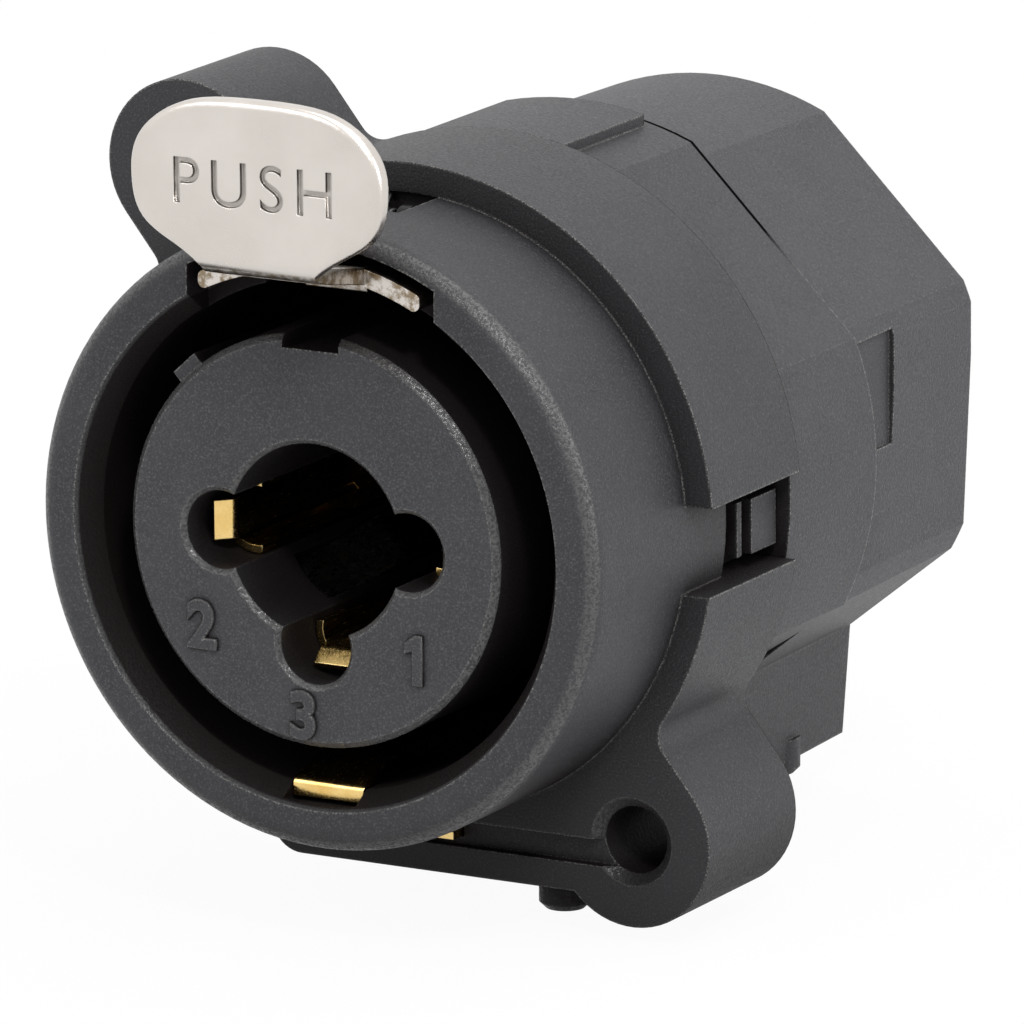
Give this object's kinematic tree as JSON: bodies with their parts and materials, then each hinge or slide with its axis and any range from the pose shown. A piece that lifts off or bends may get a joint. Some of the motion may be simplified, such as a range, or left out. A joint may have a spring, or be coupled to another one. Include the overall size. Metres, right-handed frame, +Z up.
{
  "type": "combination audio panel socket",
  "caption": "Panel socket that takes a three-pole XLR plug or a 6.35 mm jack, with a sprung push latch, diagonal fixing ears and solder tags at the rear.",
  "frame": {"origin": "centre of the flange's front face, which meets the panel", "axes": "+Y towards the rear of the housing, +Z up to the latch, +X to the right seen from the mouth"},
  "size_m": [0.026, 0.0394, 0.0328],
  "materials": {
    "housing_plastic": "glass-filled nylon, fine matt grain",
    "lever_steel": "nickel-plated sheet steel, satin",
    "spring_steel": "bright spring wire",
    "gold_contact": "gold-plated bronze, bright",
    "tin_contact": "tinned bronze, dull"
  },
  "bodies": {
    "socket": {"front_shell": "housing_plastic", "main_housing": "housing_plastic", "rear_cover": "housing_plastic", "contact_carrier": "housing_plastic", "latch_pin": "spring_steel", "shell_ground_spring": "gold_contact", "panel_ground_strip": "gold_contact", "xlr_contact_1": "gold_contact", "xlr_contact_2": "gold_contact", "xlr_contact_3": "gold_contact", "jack_tip_spring": "tin_contact", "jack_ring_spring": "tin_contact", "jack_sleeve_spring": "tin_contact"},
    "latch": {"latch_lever": "lever_steel", "latch_spring": "spring_steel"}
  },
  "joints": [
    {"name": "latch_pivot", "type": "hinge", "parent": "socket", "child": "latch", "pos_m": [0, -0.0015, 0.01106], "axis": [-1, 0, 0], "range_deg": [0, 4.4], "stiffness_Nm_per_rad": 0.02, "springref_deg": -20.05}
  ]
}
